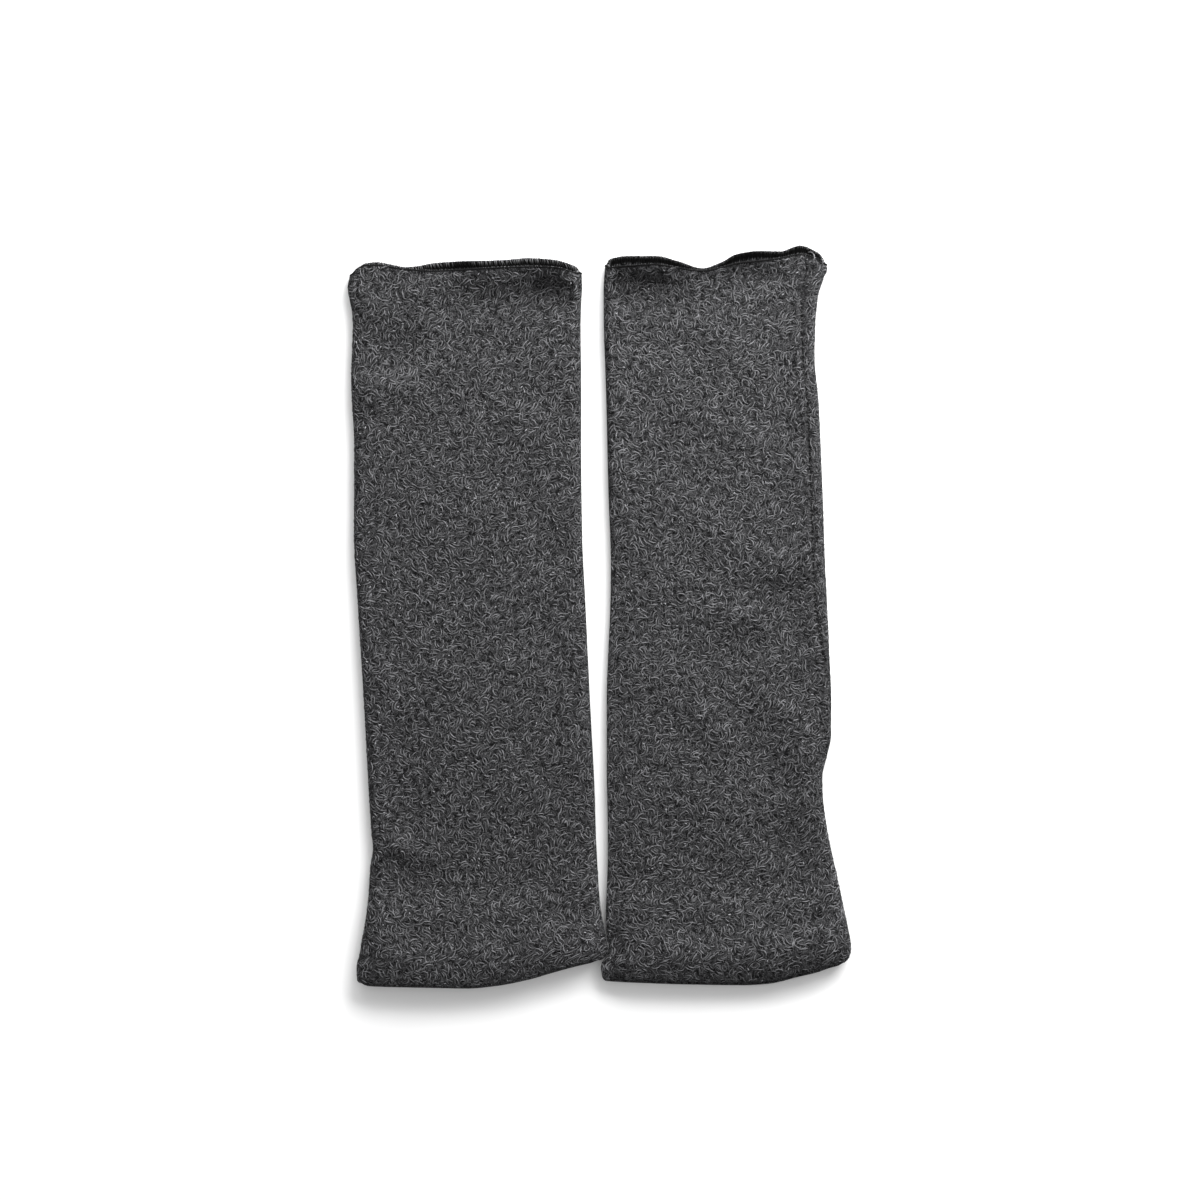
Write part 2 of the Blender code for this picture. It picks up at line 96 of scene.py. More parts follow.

# sides: y, and the x of both folds, in the columns that "outer" and "inner" name
# mouth: share of the width from the inner fold, y of the front edge, y of the back edge
# hand: the same share, y of the turned edge
# seam: y, place of the seam round the outer fold from mid height, more than zero on the top
# rolled: y, share by which the inner fold's upper half is pressed down
# folds: x, y of the middle, length, width, angle in degrees, rise
# pressed is the share by which the turned edge is pressed down.  The overlock's loops have
# their shades, the length over which painted shade darkens them inward, and the x and width
# of a painted shadow of the lip on them.
MITTENS = {
    "left": {
        "outer": 1, "inner": 2, "hem_step": 0.7, "pressed": 0.04, "thumb": (-90, 40),
        "loop_shades": (0.5, 2.4), "loop_fade": 2.6, "loop_shadow": (-56.5, 6), "seed": 11,
        "sides": (
            (146, -101.8, -7.4), (144, -102.6, -7.3), (141, -103.7, -7.2), (137, -104.4, -7.1),
            (131, -103.5, -7.4), (126.5, -102.6, -7.6), (121, -102.3, -7.7), (99, -103, -7.5),
            (70, -101.7, -7.5), (35, -101.8, -7.1), (5, -100.2, -5.7), (-35, -97.7, -3.8),
            (-75, -95.5, -1.8), (-90, -94.4, -1.4), (-96, -93.8, -1.1), (-102, -94.8, -0.8),
            (-118, -96, 0.3), (-129.9, -97.7, 2.3), (-134, -98.5, 3.6), (-136.5, -98.9, 4),
            (-139, -99.3, 3.6), (-141, -99.7, 2.4), (-142.6, -100.2, 1), (-146, -100.7, 0.8),
            (-150, -100.5, 0.8), (-152.7, -99.8, 0.8),
        ),
        "mouth": (
            (0.00, 142.6, 143.4), (0.03, 143.2, 145.8), (0.13, 145, 148.5), (0.23, 145.4, 149.1),
            (0.36, 145, 148.2), (0.52, 144.2, 147.8), (0.65, 143.8, 147), (0.72, 144.2, 145.8),
            (0.77, 144.5, 145.3), (0.80, 144.9, 145.7), (0.84, 145.5, 146.5),
            (0.90, 146.3, 147.4), (0.95, 146.2, 146.8), (0.985, 144.4, 144.6),
            (1.00, 142.2, 142.3),
        ),
        "hand": (
            (0.00, -142.2), (0.04, -143.4), (0.09, -144.6), (0.21, -147.9), (0.28, -150),
            (0.36, -151.8), (0.43, -153), (0.55, -154.1), (0.72, -153.8), (0.90, -153.4),
            (0.97, -153), (1.00, -151.8),
        ),
        "seam": ((145, -6.4), (-50, -6), (-97, -3.4), (-125, -5), (-152, -5)),
        "rolled": ((150, 0), (-90, 0), (-150, 0.1)),
        "folds": (
            (-45, 147, 46, 22, 3, 5.6), (-16, 144.4, 24, 15, -3, 9.5),
            (-84, 146, 22, 12, 20, 1.4), (-50, 130.5, 44, 12, 4, -1.6),
            (-36, 131.5, 24, 10, 0, -1.4), (-15, 133, 20, 12, -8, -9), (-12, 126, 20, 9, 10, 1.8),
            (-92, 133, 12, 9, 60, -1.2), (-80, 131, 34, 24, 10, 3.6),
            (-83, 109, 34, 14, 20, -1.6), (-91, 94, 26, 14, 25, 3.2), (-86, -95, 22, 9, -14, 1.8),
            (-87, -104, 22, 8, -14, -2.8), (-82, -84, 20, 12, 30, -1.6),
            (-66, -108, 24, 13, 30, -1.2), (-20, -117, 30, 12, -18, -1.2),
            (-40, 62, 26, 18, 35, -0.9), (-45, 20, 60, 20, 35, -0.8),
            (-60, -40, 70, 24, -40, 0.8),
        ),
    },
    "right": {
        "outer": 2, "inner": 1, "hem_step": 1.4, "pressed": 0.28, "thumb": (-76, 40),
        "loop_shades": (0.3, 1.5), "loop_fade": 1.5, "loop_shadow": (62, 8), "seed": 23,
        "sides": (
            (147.5, 2.4, 94.4), (144.5, 2.3, 94.5), (139, 1.9, 92.5), (133, 1.8, 90.8),
            (119, 1.9, 89.6), (108, 2.3, 89.4), (90, 2.9, 91), (55, 3.7, 92.6), (20, 4.8, 93.8),
            (5, 4.6, 94.6), (-15, 3.7, 95.5), (-35, 3.1, 96.3), (-48, 3.1, 96.3),
            (-58, 3.1, 94.2), (-66, 3.1, 92.4), (-72, 3.2, 92.5), (-88, 3.5, 94.4),
            (-100, 3.5, 96.9), (-125, 2.7, 102.3), (-129.9, 2.9, 103.3), (-134, 3.8, 104.1),
            (-136.5, 4.2, 104.3), (-139, 3.8, 104.2), (-141, 2.7, 103.6), (-142.8, 1.3, 102.6),
            (-144.6, 0.6, 102.6), (-147.5, 0.9, 102.6), (-150.4, 1.5, 102.6),
        ),
        "mouth": (
            (0.00, 145, 147.2), (0.02, 145.2, 148.6), (0.05, 145.4, 149.4), (0.10, 145.6, 150),
            (0.23, 146.3, 150), (0.33, 145, 147.8), (0.44, 143.9, 144.9), (0.52, 145.2, 147.2),
            (0.60, 147, 150.9), (0.70, 148, 152.1), (0.79, 149.2, 151.9), (0.88, 150.7, 154.3),
            (0.96, 148.9, 151.4), (1.00, 145.7, 147.5),
        ),
        "hand": (
            (0.00, -150.9), (0.04, -151.2), (0.12, -151.6), (0.35, -152.4), (0.58, -152.7),
            (0.68, -152.1), (0.73, -151.2), (0.78, -149.8), (0.88, -147.4), (0.93, -145.6),
            (0.98, -144.3), (1.00, -143.4),
        ),
        "seam": (
            (150, 11), (138, 9.4), (125, 8), (110, 6.9), (90, 6.6), (5, 6.8), (-10, 5.4),
            (-23, 3.6), (-36, 1.6), (-52, -0.8), (-75, -2.2), (-150, -2.8),
        ),
        "rolled": ((60, 0), (0, 0.70), (-110, 0.80), (-150, 0.55)),
        "folds": (
            (18, 146.6, 34, 15, 2, 8.6), (60, 149.5, 30, 10, 8, 3), (17, 135, 22, 12, -10, -9),
            (38, 131, 26, 10, -12, -1.2), (66, 140, 26, 9, 10, -2.2), (79, 144, 12, 10, 10, 1.2),
            (10, 126, 16, 12, 0, 0.9), (84, 118, 24, 10, 60, 1), (80, 23, 26, 16, 20, 2.2),
            (74, 6, 24, 14, 25, -2.2), (62, 2, 24, 12, 15, 1.8), (60, -14, 26, 14, 20, -2.4),
            (66, -56, 46, 13, -58, -2.4), (82, -50, 40, 16, -55, 1.4),
            (86, -120, 18, 12, -20, -3), (80, -76, 26, 16, -20, 1.2),
            (77, -92, 24, 14, -20, -1.8), (40, -60, 70, 24, 55, 0.9), (35, 70, 70, 26, -30, -0.7),
        ),
    },
}


def curve(at, table, index):
    """A monotone cubic through a table's rows: harmonic mean slopes, so it never overshoots."""
    rows = np.array(sorted(table))
    knots, values = rows[:, 0], rows[:, index]
    steps = np.diff(knots)
    slopes = np.diff(values) / steps
    turns = slopes[:-1] * slopes[1:]
    safe = np.where(turns > 0, slopes[:-1] + slopes[1:], 1.0)
    tangents = np.concatenate((slopes[:1], np.where(turns > 0, 2 * turns / safe, 0), slopes[-1:]))
    at = np.clip(at, knots[0], knots[-1])
    i = np.clip(np.searchsorted(knots, at) - 1, 0, len(steps) - 1)
    t = (at - knots[i]) / steps[i]
    rest = 1 - t
    start = values[i] * (1 + 2 * t) + tangents[i] * steps[i] * t
    end = values[i + 1] * (1 + 2 * rest) - tangents[i + 1] * steps[i] * rest
    return start * rest ** 2 + end * t ** 2


def smoothstep(value):
    """A soft S from 0 to 1: three t squared less two t cubed."""
    t = np.clip(value, 0, 1)
    return t * t * (3 - 2 * t)


def sides(mitten, y):
    """The x of the inner fold, the way to the outer fold as a sign, and the width between."""
    inner = curve(y, mitten["sides"], mitten["inner"])
    outer = curve(y, mitten["sides"], mitten["outer"])
    return inner, np.sign(outer - inner), np.abs(outer - inner)


def apart(share, fade):
    """1 over the width and 0 at both folds, along a soft S."""
    return smoothstep(share / fade) * smoothstep((1 - share) / fade)


def mouth_y(mitten, share, over):
    """The y of the arm end's edge: the front's column or the back's, and their mean at a fold."""
    front = curve(share, mitten["mouth"], 1)
    back = curve(share, mitten["mouth"], 2)
    parting = (front - back) / 2 * apart(share, LIP_FADE)
    return (front + back) / 2 + np.where(over, parting, -parting)


def hand_y(mitten, share, over):
    """The y of the turned edge; the front's stays back from the back's by a small step."""
    step = mitten["hem_step"] * apart(share, STEP_FADE)
    return curve(share, mitten["hand"], 1) + np.where(over, step, 0.0)


def hem_share(from_edge):
    """1 over the hem and 0 over the body, falling along a soft S just above the hem."""
    return 1 - smoothstep((from_edge - TURN_RADIUS - HEM_DEPTH - HEM_CLEAR) / HEM_SLOPE)


def half_height(from_edge):
    """Half the height of the flattened tube at its folds."""
    return (BODY_HEIGHT + (HEM_HEIGHT - BODY_HEIGHT) * hem_share(from_edge)) / 2


def reach(width, half):
    """Distance round the section from mid height of one fold to mid height of the other."""
    return math.pi * half + width - 2 * half


def seam_place(mitten, y):
    """Where the seam lies round the outer fold, and half the space between its two edges."""
    middle, length = mitten["thumb"]
    thumb = np.cos(np.clip((y - middle) / length, -0.5, 0.5) * math.pi) ** 2
    return curve(y, mitten["seam"], 1), SEAM_PARTING + THUMB_PARTING / 2 * thumb


def shares(mitten, around, y):
    """The share of the width at a place round the tube, whether it is over, and its height.

    A place past the outer fold lies on the other layer, so its distance is folded back.
    """
    _, _, width = sides(mitten, y)
    half = BODY_HEIGHT / 2
    for _ in range(2):
        whole = reach(width, half)
        distance = np.abs(around)
        past = distance > whole
        folded = np.where(past, 2 * whole - distance, distance)
        share = np.clip((folded - (math.pi / 2 - 1) * half) / width, 0, 1)
        over = (around >= 0) ^ past
        from_edge = y - hand_y(mitten, share, over)
        half = half_height(from_edge)
    return share, over, from_edge, half


def sink(mitten, x, y, across, width, from_edge, half):
    """How far the front stands above or below the height at its folds.

    It sags between the folds; each row of the table adds a bell curve over its length and its
    width; a few long sine waves keep it uneven.  A hyperbolic tangent keeps it off the back,
    and off the allowance beside the seam.
    """
    edge = np.minimum(across, width - across)
    rise = np.zeros_like(x)
    for middle_x, middle_y, length, breadth, angle, amount in mitten["folds"]:
        turn = math.radians(angle)
        along = (x - middle_x) * math.cos(turn) + (y - middle_y) * math.sin(turn)
        beside = (y - middle_y) * math.cos(turn) - (x - middle_x) * math.sin(turn)
        rise += amount * np.exp(-(2 * along / length) ** 2 - (2 * beside / breadth) ** 2)
    waves = np.random.default_rng(mitten["seed"])
    for wavelength, amount in UNEVEN:
        turn, phase = waves.uniform(0, 2 * math.pi, 2)
        rise += amount * np.sin(2 * math.pi / wavelength
                                * (x * math.cos(turn) + y * math.sin(turn)) + phase)
    beyond = from_edge - CROWN_PLACE
    crown = np.exp(-(beyond / np.where(beyond > 0, CROWN_WIDTH, CROWN_FALL)) ** 2)
    rise = (rise + HEM_CROWN * crown) * smoothstep((edge - half) / FOLD_FADE)
    rise -= SAG * (1 - CROWN_SAG * crown) * smoothstep((edge - half) / SAG_WIDTH)
    depth = 2 * (WALL + (HEM_LAYERS - WALL) * hem_share(from_edge)) + LAYER_GAP
    held = ALLOWANCE_ROOM * smoothstep((ALLOWANCE_SIDE - (width - across)) / ALLOWANCE_FADE)
    room = np.maximum(2 * half - depth - held, LAYER_GAP)
    return np.where(rise < 0, room * np.tanh(rise / room), rise)


def cloth(mitten, around, y, inset):
    """A place on the tube, as x, y and z.

    around runs over the outer face from the inner fold, more than zero over the front: a
    quarter circle, the flat, a half circle round the outer fold, and back over the other layer.
    inset moves the place into the cloth, and the cloth rolls in at the seam.
    """
    share, over, from_edge, half = shares(mitten, around, y)
    inner, way, width = sides(mitten, y)
    seam, parting = seam_place(mitten, y)
    distance = np.abs(around)
    to_seam = reach(width, half) - np.sign(around + 1e-9) * seam - parting - distance
    inset = inset + SEAM_DIP * np.exp(-(np.maximum(to_seam, 0) / SEAM_ROLL) ** 2)
    ridge = SEAM_RIDGE * np.exp(-((to_seam - RIDGE_PLACE) / RIDGE_WIDTH) ** 2)
    inset = inset - np.where(distance + seam > reach(width, half), 0.0, ridge)
    radius = half - inset
    inner_turn = distance / half
    past_flat = distance - half * math.pi / 2 - (width - 2 * half)
    outer_turn = past_flat / half
    past_fold = past_flat - math.pi * half
    where = (distance < half * math.pi / 2, past_flat <= 0, past_fold <= 0)
    flat = half + distance - half * math.pi / 2
    across = np.select(where, (half - radius * np.cos(inner_turn), flat,
                               width - half + radius * np.sin(outer_turn)),
                       width - half - past_fold)
    rise = np.select(where, (radius * np.sin(inner_turn), radius,
                             radius * np.cos(outer_turn)), -radius)
    z = half + np.where(around >= 0, rise, -rise)
    x = inner + way * across
    edge = np.minimum(across, width - across)
    lifted = sink(mitten, x, y, across, width, from_edge, half)
    z = z + np.where((z > half) & (edge > half), lifted, 0.0)
    pressed = mitten["pressed"] * np.exp(-(np.maximum(from_edge, 0) / EDGE_WIDTH) ** 2)
    z = half + (z - half) * (1 - np.where(z > half, pressed, pressed / 2))
    rolled = curve(y, mitten["rolled"], 1) * np.exp(-(np.maximum(across, 0) / PRESS_WIDTH) ** 2)
    z = half + (z - half) * (1 - np.where(z > half, rolled, 0.0))
    return np.stack((x, y, z + PILE), axis=-1)


def spread(count, dense):
    """Shares from 0 to 1, closer together near the ends: the running sum of a bell weight."""
    at_start, at_end, zone = dense
    t = np.linspace(0, 1, 401)
    weight = 1 + at_start * np.exp(-(t / zone) ** 2) + at_end * np.exp(-((1 - t) / zone) ** 2)
    total = np.concatenate(([0], np.cumsum((weight[1:] + weight[:-1]) / 2)))
    return np.interp(np.linspace(0, 1, count + 1), total / total[-1], t)


def panel_rows():
    """The way down the cloth: kind of row, and its share or its angle."""
    rows = [("rim", math.pi / 2 * k / RIM_STEPS) for k in range(RIM_STEPS, 0, -1)]
    rows += [("body", share) for share in spread(CLOTH_ROWS, DENSE_ROWS)]
    over_hem = np.linspace(1, 0, HEM_ROWS + 1)
    rows += [("over_hem", share) for share in over_hem[1:]]
    rows += [("turn", math.pi * k / TURN_STEPS) for k in range(1, TURN_STEPS)]
    rows += [("hem", share) for share in over_hem[::-1]]
    return rows


def panel_line(mitten, fractions, row, face):
    """One row of the cloth on one face, as points.

    The row's y depends on the share of the width at each column, and that share on the row's
    y, so the two are worked out in turn.  The way round and the way down the cloth come back
    too, for its UV map.
    """
    kind, value = row
    y = np.zeros_like(fractions)
    for _ in range(4):
        _, _, width = sides(mitten, y)
        _, _, _, half = shares(mitten, fractions * width, y)
        seam, parting = seam_place(mitten, y)
        length = reach(width, half) - np.sign(fractions + 1e-9) * seam - parting
        around = fractions * length
        share, over, _, _ = shares(mitten, around, y)
        start = hand_y(mitten, share, over) + TURN_RADIUS
        top = mouth_y(mitten, share, over) - WALL / 2
        inset = 0.0 if face == "outer" else WALL
        if kind == "rim":
            y = top + WALL / 2 * math.sin(value)
            inset = WALL / 2 + (inset - WALL / 2) * math.cos(value)
        elif kind == "body":
            y = top + (start + HEM_DEPTH - top) * value
        elif kind == "turn":
            radius = TURN_RADIUS if face == "outer" else LAYER_GAP / 2
            y = start - radius * math.sin(value)
            inset = TURN_RADIUS - radius * math.cos(value)
        else:
            y = start + HEM_DEPTH * value
            if kind == "hem":
                inset = HEM_LAYERS - inset
    down = y
    if kind == "turn":
        down = start - TURN_RADIUS * value
    elif kind == "hem":
        down = start - TURN_RADIUS * math.pi - HEM_DEPTH * value
    below = mouth_y(mitten, share, over) - y
    covered, fade = RAW_OUTER if face == "outer" else RAW_INNER
    raw = smoothstep((covered - below) / fade) * (kind in ("rim", "body"))
    return cloth(mitten, around, y, inset), np.stack((around, down), axis=-1), raw


def add_mesh(name, points, face_sets, smooth=True, places=None, shades=None):
    """A piece from points in millimetres and sets of faces, each set with one corner count.

    places gives each point's place on the cloth for a UV map, and shades its shade attribute.
    """
    corners = np.concatenate([np.full(len(faces), np.shape(faces)[1]) for faces in face_sets])
    loops = np.concatenate([np.ravel(faces) for faces in face_sets]).astype(np.int32)
    mesh = bpy.data.meshes.new(name)
    mesh.vertices.add(len(points))
    mesh.vertices.foreach_set("co", (np.asarray(points, dtype=np.float32) * MM).ravel())
    mesh.loops.add(len(loops))
    mesh.loops.foreach_set("vertex_index", loops)
    mesh.polygons.add(len(corners))
    starts = np.cumsum(corners) - corners
    mesh.polygons.foreach_set("loop_start", starts.astype(np.int32))
    mesh.update(calc_edges=True)
    if places is not None:
        layer = mesh.uv_layers.new(name="cloth")
        layer.uv.foreach_set("vector", (places[loops] * MM).astype(np.float32).ravel())
    if shades is not None:
        shade = mesh.attributes.new("shade", "FLOAT", "POINT")
        shade.data.foreach_set("value", shades.astype(np.float32))
    mesh.validate()
    if smooth:
        mesh.shade_smooth()
    piece = bpy.data.objects.new(name, mesh)
    bpy.context.scene.collection.objects.link(piece)
    return piece


def knit_panel(hand, mitten):
    """The whole cloth of one mitten: a loop of rows down its outer face and up its inner face,
    swept from the seam over the front, round the inner fold and over the back to the seam."""
    half = spread(CLOTH_COLUMNS, DENSE_COLUMNS)
    fractions = np.concatenate((half[::-1], -half[1:]))
    rows = panel_rows()
    lines = [panel_line(mitten, fractions, row, "outer") for row in rows]
    lines += [panel_line(mitten, fractions, row, "inner") for row in rows[:0:-1]]
    grid, places, raw = (np.array(part) for part in zip(*lines))
    lengths, columns = grid.shape[:2]
    index = np.arange(lengths * columns).reshape(lengths, columns)
    after = np.roll(index, -1, axis=0)
    faces = np.stack((index[:, :-1], index[:, 1:], after[:, 1:], after[:, :-1]), -1)
    quads = [faces.reshape(-1, 4)]
    ends = []
    depth = len(rows)
    for k, order in ((0, 1), (columns - 1, -1)):
        outer = index[1:depth, k]
        inner = index[depth:, k][::-1]
        quads.append(np.stack((outer[:-1], outer[1:], inner[1:], inner[:-1]), -1)[:, ::order])
        ends.append(np.array(((index[0, k], outer[0], inner[0]),))[:, ::order])
    quads = np.concatenate(quads)
    ends = np.concatenate(ends)
    if hand == "left":
        quads, ends = quads[:, ::-1], ends[:, ::-1]
    return add_mesh(f"{hand}_knit", grid.reshape(-1, 3), (quads, ends),
                    places=places.reshape(-1, 2), shades=raw.ravel())


panels = {hand: knit_panel(hand, mitten) for hand, mitten in MITTENS.items()}


# Marl
# The yarn is spun from dark fibres and light ones, and brushing curls the light ones over the
# face.  The group draws a flow of short curled strokes on the cloth, and the hollows by them,
# which the material paints dark as shade.
CHARCOAL = (0.0045, 0.0045, 0.0048, 1.0)      # the dark fibres, and painted shade in the hollows
SLATE = (0.034, 0.034, 0.0355, 1.0)           # the body of the yarn
ASH = (0.110, 0.110, 0.1135, 1.0)             # the light strokes
BLACK_THREAD_AND_SHADE = (0.0018, 0.0018, 0.0018, 1.0)  # the looper thread over the raw edge, painted darker than thread as shade in the mouth
MARL_ROUGHNESS = 0.95
MARL_GLOSS = 0.04
MARL_RELIEF = 0.0004        # how high the strokes stand over the hollows, in metres
NOISE_EDGE = (0.30, 0.70)   # a noise's values where its tones start and end
GROUND_SCALE = 480.0        # noise in the body of the yarn
PATCH_SCALE = 95.0          # slower noise that makes patches a little darker or lighter
PATCH_TONES = (0.90, 1.04)
STROKE_TURN = 18.0          # how far the slow noise turns the stripes, in radians
STROKE_EDGE = (0.55, 0.75)  # the stripes' values where a stroke starts and is whole
HOLLOW_EDGE = (0.45, 0.25)
STROKE_INPUTS = ("Fineness", "Stripes", "Curl", "Shift")
STROKE_LAYERS = ((270.0, 2.6, 140.0, 0.0), (330.0, 2.8, 190.0, 0.37))


def new_material(name, roughness, gloss=0.5):
    """A material, its node tree and the inputs of its shader."""
    material = bpy.data.materials.new(name)
    material.use_nodes = True
    inputs = material.node_tree.nodes["Principled BSDF"].inputs
    inputs["Roughness"].default_value = roughness
    inputs["Specular IOR Level"].default_value = gloss
    return material, material.node_tree, inputs


def link(tree, source, target):
    """Joins an output to an input."""
    tree.links.new(source, target)


def ramp(tree, source, low, high, start=0.0, end=1.0):
    """A soft S from start to end while the source goes from low to high."""
    node = tree.nodes.new("ShaderNodeMapRange")
    node.interpolation_type = "SMOOTHSTEP"
    node.inputs["From Min"].default_value = low
    node.inputs["From Max"].default_value = high
    node.inputs["To Min"].default_value = start
    node.inputs["To Max"].default_value = end
    link(tree, source, node.inputs["Value"])
    return node.outputs["Result"]


def combine(tree, operation, first, second):
    """The sum, product or the like of two outputs, or of an output and a number."""
    node = tree.nodes.new("ShaderNodeMath")
    node.operation = operation
    for socket, value in zip(node.inputs, (first, second)):
        if isinstance(value, float):
            socket.default_value = value
        else:
            link(tree, value, socket)
    return node.outputs[0]


def blend_colour(tree, share, first, second, clamp=True):
    """A mix from the first colour to the second; each is a colour or an output."""
    node = tree.nodes.new("ShaderNodeMix")
    node.data_type = "RGBA"
    node.clamp_factor = clamp
    link(tree, share, node.inputs["Factor"])
    for name, value in (("A", first), ("B", second)):
        if isinstance(value, tuple):
            node.inputs[name].default_value = value
        else:
            link(tree, value, node.inputs[name])
    return node.outputs["Result"]


def noise(tree, place, scale, detail, dimensions="2D"):
    """A noise over a place; its scale is a number or an output."""
    node = tree.nodes.new("ShaderNodeTexNoise")
    node.noise_dimensions = dimensions
    node.inputs["Detail"].default_value = detail
    link(tree, place, node.inputs["Vector"])
    if isinstance(scale, float):
        node.inputs["Scale"].default_value = scale
    else:
        link(tree, scale, node.inputs["Scale"])
    return node.outputs["Fac"]


def marl_group():
    """A node group: striped noise whose stripes turn with a slower noise, so they curl."""
    group = bpy.data.node_groups.new("Marl strokes", "ShaderNodeTree")
    sockets = group.interface
    for name in STROKE_INPUTS:
        sockets.new_socket(name, in_out="INPUT", socket_type="NodeSocketFloat")
    sockets.new_socket("Vector", in_out="INPUT", socket_type="NodeSocketVector")
    for name in ("Stroke", "Hollow"):
        sockets.new_socket(name, in_out="OUTPUT", socket_type="NodeSocketFloat")
    nodes = group.nodes
    start = nodes.new("NodeGroupInput")
    end = nodes.new("NodeGroupOutput")
    moved = nodes.new("ShaderNodeVectorMath")
    moved.operation = "ADD"
    link(group, start.outputs["Vector"], moved.inputs[0])
    link(group, start.outputs["Shift"], moved.inputs[1])
    slow = noise(group, moved.outputs[0], start.outputs["Curl"], 0.5)
    stripes = nodes.new("ShaderNodeTexGabor")
    stripes.gabor_type = "2D"
    stripes.inputs["Anisotropy"].default_value = 1.0
    link(group, moved.outputs[0], stripes.inputs["Vector"])
    link(group, start.outputs["Fineness"], stripes.inputs["Scale"])
    link(group, start.outputs["Stripes"], stripes.inputs["Frequency"])
    link(group, combine(group, "MULTIPLY", slow, STROKE_TURN), stripes.inputs["Orientation"])
    link(group, ramp(group, stripes.outputs["Value"], *STROKE_EDGE), end.inputs["Stroke"])
    link(group, ramp(group, stripes.outputs["Value"], *HOLLOW_EDGE), end.inputs["Hollow"])
    return group


MARL = marl_group()


def marl_material(name):
    """The brushed knit: two layers of strokes over a mottled ground, raised by a bump."""
    material, tree, shader = new_material(name, MARL_ROUGHNESS, MARL_GLOSS)
    nodes = tree.nodes
    place = nodes.new("ShaderNodeUVMap")
    place.uv_map = "cloth"
    ground = noise(tree, place.outputs["UV"], GROUND_SCALE, 3.0)
    patches = noise(tree, place.outputs["UV"], PATCH_SCALE, 2.0)
    mottle = combine(tree, "MULTIPLY", ramp(tree, ground, *NOISE_EDGE),
                     ramp(tree, patches, *NOISE_EDGE, *PATCH_TONES))
    layers = []
    for values in STROKE_LAYERS:
        layer = nodes.new("ShaderNodeGroup")
        layer.node_tree = MARL
        for socket, value in zip(STROKE_INPUTS, values):
            layer.inputs[socket].default_value = value
        link(tree, place.outputs["UV"], layer.inputs["Vector"])
        layers.append(layer.outputs)
    strokes = combine(tree, "MAXIMUM", layers[0]["Stroke"], layers[1]["Stroke"])
    hollows = combine(tree, "MULTIPLY", layers[0]["Hollow"], layers[1]["Hollow"])
    colour = blend_colour(tree, mottle, CHARCOAL, SLATE)
    colour = blend_colour(tree, strokes, colour, ASH)
    # the hollows by the strokes are painted dark: painted shade over the dark fibres
    colour = blend_colour(tree, hollows, colour, CHARCOAL)
    # the overlocked band: black thread, darkened further as painted shade inside the mouth
    raw = nodes.new("ShaderNodeAttribute")
    raw.attribute_name = "shade"
    colour = blend_colour(tree, raw.outputs["Fac"], colour, BLACK_THREAD_AND_SHADE)
    link(tree, colour, shader["Base Color"])
    bump = nodes.new("ShaderNodeBump")
    bump.inputs["Strength"].default_value = 1.0
    bump.inputs["Distance"].default_value = MARL_RELIEF
    relief = combine(tree, "SUBTRACT", combine(tree, "ADD", mottle, strokes), hollows)
    link(tree, relief, bump.inputs["Height"])
    link(tree, bump.outputs["Normal"], shader["Normal"])
    return material


marl = marl_material("Charcoal marl knit")
for hand, panel in panels.items():
    panel.data.materials.append(marl)
    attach(panel, "root")
    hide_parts(f"{hand}_front", f"{hand}_back")


# Light fibres
# The longest light fibres stand clear of the knit: curled hairs of wool and viscose, rooted
# in the yarn at both ends.  Neighbours lie alike, as the brush left them.
FIBRE_STEPS = 6          # steps along one fibre
FIBRE_LENGTH = (2.4, 5.6)
FIBRE_SHIFT = 1.8        # how far a fibre has slid along its lock
FIBRE_RADIUS = (0.22, 0.31)
FIBRE_TIP = 0.45         # its radius at an end, as a share of that at its middle
FIBRE_LIFT = 0.12        # how high its middle stands over the cloth, at most
FIBRE_LOW = 0.3          # the least share of that
FIBRE_ROOT = 0.22        # how deep its ends go into the cloth
RIM_MARGIN = 0.2         # how far fibres stay from the rim
SEAM_MARGIN = 0.35       # how far they stay from the seam, a dark line
FOLD_CROSSING = 0.5      # how far they may cross the inner fold
TURN_REACH = 1.4         # how far round the turned edge they go, in radians
TURN_FINENESS = 0.55     # radius on a fold or the turned edge, as a share of the flat's
TURN_BAND = (1.0, 5.0)   # where they start to thicken and are whole, measured from a fold
FIBRE_SHADES = (0.25, 0.90)
CLOTH_REACH = 116.0      # more than the way from the inner fold to the seam
HAND_END = -150.0        # about where the turned edge lies, and down is 0
LOCK_FIBRES = 2          # fibres side by side in one curled lock
LOCK_PITCH = 1.15        # from one to the next
LOCK_STRAY = 0.25        # how far a fibre strays from there
LOCK_PLACE = (0.2, 0.8)  # where a lock lies in its cell
LOCK_BEND = (1.9, 4.6)   # radius of the lock's curl at its middle
LOCK_TONES = (0.93, 1.07)
ABOVE = 0.3              # distance of the points that say which way is up
GLINT_SHARE = 0.06       # share of fibres that are broken ends, painted bright as glints of light
GLINT_LENGTH = (0.9, 1.5)
GLINT_SHADES = (0.9, 1.7)
FIBRE_ROUGHNESS = 0.8
FLECK_SCALE = 900.0      # noise along a fibre, and how much darker or lighter it makes it
FLECK_TONES = (0.7, 1.3)
# place, whether over, run down the cloth, run round it in widths, and spacing of the locks
COATS = (
    ("arm", True, (130.0, 310.0), (0.0, 1.3), 2.85),
    ("hand", True, (-5.0, 130.0), (0.0, 1.3), 2.85),
    ("side", False, (-5.0, 310.0), (0.93, 1.3), 2.85),
    ("under", False, (-5.0, 310.0), (0.0, 0.93), 6.0),
)


